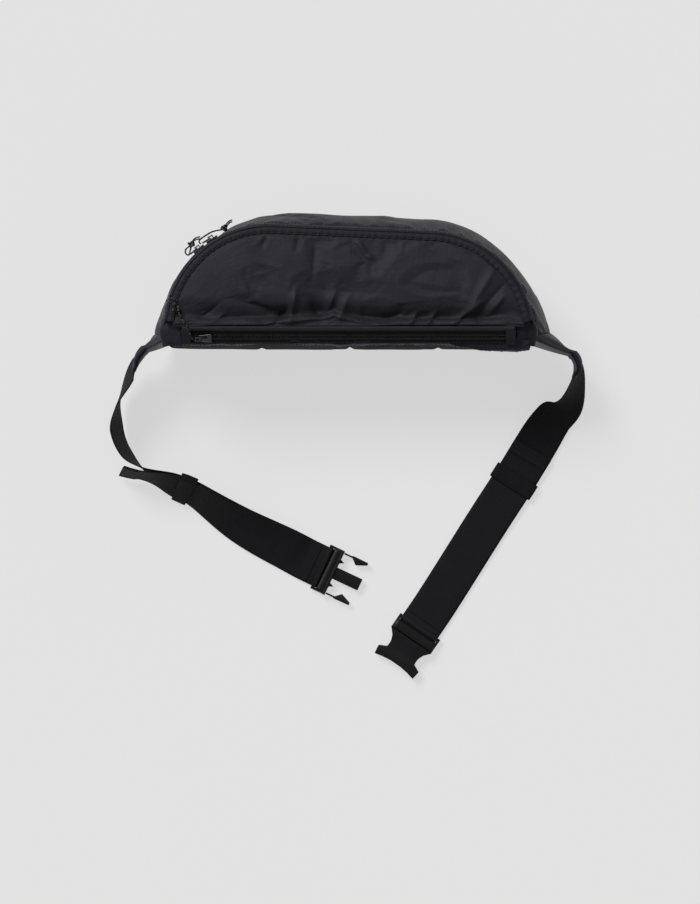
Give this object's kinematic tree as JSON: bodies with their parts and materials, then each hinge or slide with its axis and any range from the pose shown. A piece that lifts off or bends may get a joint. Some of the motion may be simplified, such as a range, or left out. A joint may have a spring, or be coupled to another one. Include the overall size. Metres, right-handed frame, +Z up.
{
  "type": "waist pack",
  "caption": "Zipped waist pack with a curved two-way zip lid, a zipped back pocket and a webbing belt with a side-release buckle, lying open.",
  "frame": {"origin": "on the surface that the pack stands on, under the middle of the whole object's box", "axes": "+Z up; the pack's front, with the curved main zip, faces +Y; the belt lies toward -Y; +X is the wearer's left when worn in front"},
  "size_m": [0.425, 0.4138, 0.1299],
  "materials": {
    "top_cloth": "matt ripstop",
    "welt_cloth": "matt woven",
    "navy_cloth": "slightly glossy coated ripstop",
    "mesh_cloth": "matt mesh",
    "lining_cloth": "matt woven",
    "foam": "matt foam",
    "zip_tape": "matt woven with nylon coil",
    "webbing": "ribbed webbing",
    "elastic": "matt elastic",
    "pull_cord": "black cord with grey flecks",
    "zip_metal": "satin gunmetal",
    "buckle_plastic": "satin black"
  },
  "bodies": {
    "pack": {"front_panel": "navy_cloth", "base_panel": "lining_cloth", "back_panel": "mesh_cloth", "back_foam": "foam", "pocket_divider": "lining_cloth", "main_zip_lower_tape": "zip_tape", "rear_zip_lower_tape": "zip_tape", "rear_zip_upper_tape": "zip_tape", "rear_zip_left_tab": "welt_cloth", "rear_zip_right_tab": "welt_cloth", "rear_hem": "top_cloth", "left_wing": "navy_cloth", "right_wing": "navy_cloth", "left_corner_patch": "navy_cloth", "right_corner_patch": "navy_cloth", "left_webbing_anchor": "webbing", "right_webbing_anchor": "webbing"},
    "lid": {"top_panel": "top_cloth", "top_welt": "welt_cloth", "main_zip_upper_tape": "zip_tape"},
    "left_zip_slider": {"left_slider": "zip_metal"},
    "left_zip_pull": {"left_pull": "zip_metal", "left_cord": "pull_cord", "left_knot": "pull_cord"},
    "right_zip_slider": {"right_slider": "zip_metal"},
    "right_zip_pull": {"right_pull": "zip_metal", "right_cord": "pull_cord", "right_knot": "pull_cord"},
    "rear_zip_slider": {"rear_slider": "zip_metal"},
    "rear_zip_pull": {"rear_pull": "zip_metal", "rear_cord": "pull_cord", "rear_knot": "pull_cord"},
    "left_belt": {"left_webbing": "webbing", "left_tail": "webbing"},
    "left_belt_keeper": {"left_keeper": "elastic"},
    "prong_buckle": {"buckle_prong_half": "buckle_plastic", "left_webbing_loop": "webbing"},
    "upper_prong": {"buckle_upper_prong": "buckle_plastic"},
    "lower_prong": {"buckle_lower_prong": "buckle_plastic"},
    "right_belt": {"right_webbing": "webbing", "right_tail": "webbing"},
    "right_belt_keeper": {"right_keeper": "elastic"},
    "socket_buckle": {"buckle_socket_half": "buckle_plastic", "right_webbing_loop": "webbing"}
  },
  "joints": [
    {"name": "lid_open", "type": "hinge", "parent": "pack", "child": "lid", "pos_m": [0, 0.1058, 0.1222], "axis": [1, 0, 0], "range_deg": [0, 110], "deforming": ["rear_cord", "rear_knot"]},
    {"name": "left_zip_travel", "type": "hinge", "parent": "pack", "child": "left_zip_slider", "pos_m": [-0.06863, 0.10325, 0.112], "axis": [0, 0, 1], "range_deg": [0, 33]},
    {"name": "left_pull_swing", "type": "hinge", "parent": "left_zip_slider", "child": "left_zip_pull", "pos_m": [-0.13131, 0.1733, 0.112], "axis": [0, 0, -1], "range_deg": [0, 70], "deforming": ["left_cord", "left_knot"]},
    {"name": "right_zip_travel", "type": "hinge", "parent": "pack", "child": "right_zip_slider", "pos_m": [-0.06863, 0.10325, 0.112], "axis": [0, 0, 1], "range_deg": [-28, 0]},
    {"name": "right_pull_swing", "type": "hinge", "parent": "right_zip_slider", "child": "right_zip_pull", "pos_m": [-0.1199, 0.18204, 0.112], "axis": [0, 0, -1], "range_deg": [0, 70], "deforming": ["right_cord", "right_knot"]},
    {"name": "rear_zip_travel", "type": "slide", "parent": "pack", "child": "rear_zip_slider", "axis": [1, 0, 0], "range_m": [0, 0.245], "deforming": ["rear_cord", "rear_knot"]},
    {"name": "rear_pull_swing", "type": "hinge", "parent": "rear_zip_slider", "child": "rear_zip_pull", "pos_m": [-0.12472, 0.09422, 0.11969], "axis": [0, 0.8192, 0.5736], "range_deg": [0, 70], "deforming": ["rear_cord", "rear_knot"]},
    {"name": "left_belt_swing", "type": "hinge", "parent": "pack", "child": "left_belt", "pos_m": [-0.1782, 0.087, 0.046], "axis": [0, 0, 1], "range_deg": [-35, 0]},
    {"name": "left_keeper_slide", "type": "slide", "parent": "left_belt", "child": "left_belt_keeper", "axis": [0.9385, -0.3447, -0.0196], "range_m": [-0.008, 0.012], "deforming": ["left_webbing", "left_tail"]},
    {"name": "left_belt_adjust", "type": "slide", "parent": "left_belt", "child": "prong_buckle", "axis": [0.9047, -0.426, 0], "range_m": [-0.03, 0], "deforming": ["left_webbing", "left_tail"]},
    {"name": "upper_prong_squeeze", "type": "hinge", "parent": "prong_buckle", "child": "upper_prong", "pos_m": [-0.00374, -0.09437, 0.0045], "axis": [0, 0, 1], "range_deg": [-8, 0], "stiffness_Nm_per_rad": 0.4},
    {"name": "lower_prong_squeeze", "type": "hinge", "parent": "prong_buckle", "child": "lower_prong", "pos_m": [-0.02048, -0.12992, 0.0045], "axis": [0, 0, 1], "range_deg": [0, 8], "stiffness_Nm_per_rad": 0.4},
    {"name": "right_belt_swing", "type": "hinge", "parent": "pack", "child": "right_belt", "pos_m": [0.19631, 0.08326, 0.046], "axis": [0, 0, 1], "range_deg": [0, 35]},
    {"name": "right_keeper_slide", "type": "slide", "parent": "right_belt", "child": "right_belt_keeper", "axis": [-0.541, -0.841, 0], "range_m": [-0.012, 0.04], "deforming": ["right_webbing", "right_tail"]},
    {"name": "right_belt_adjust", "type": "slide", "parent": "right_belt", "child": "socket_buckle", "axis": [-0.565, -0.8251, 0], "range_m": [-0.03, 0], "deforming": ["right_webbing", "right_tail"]}
  ]
}
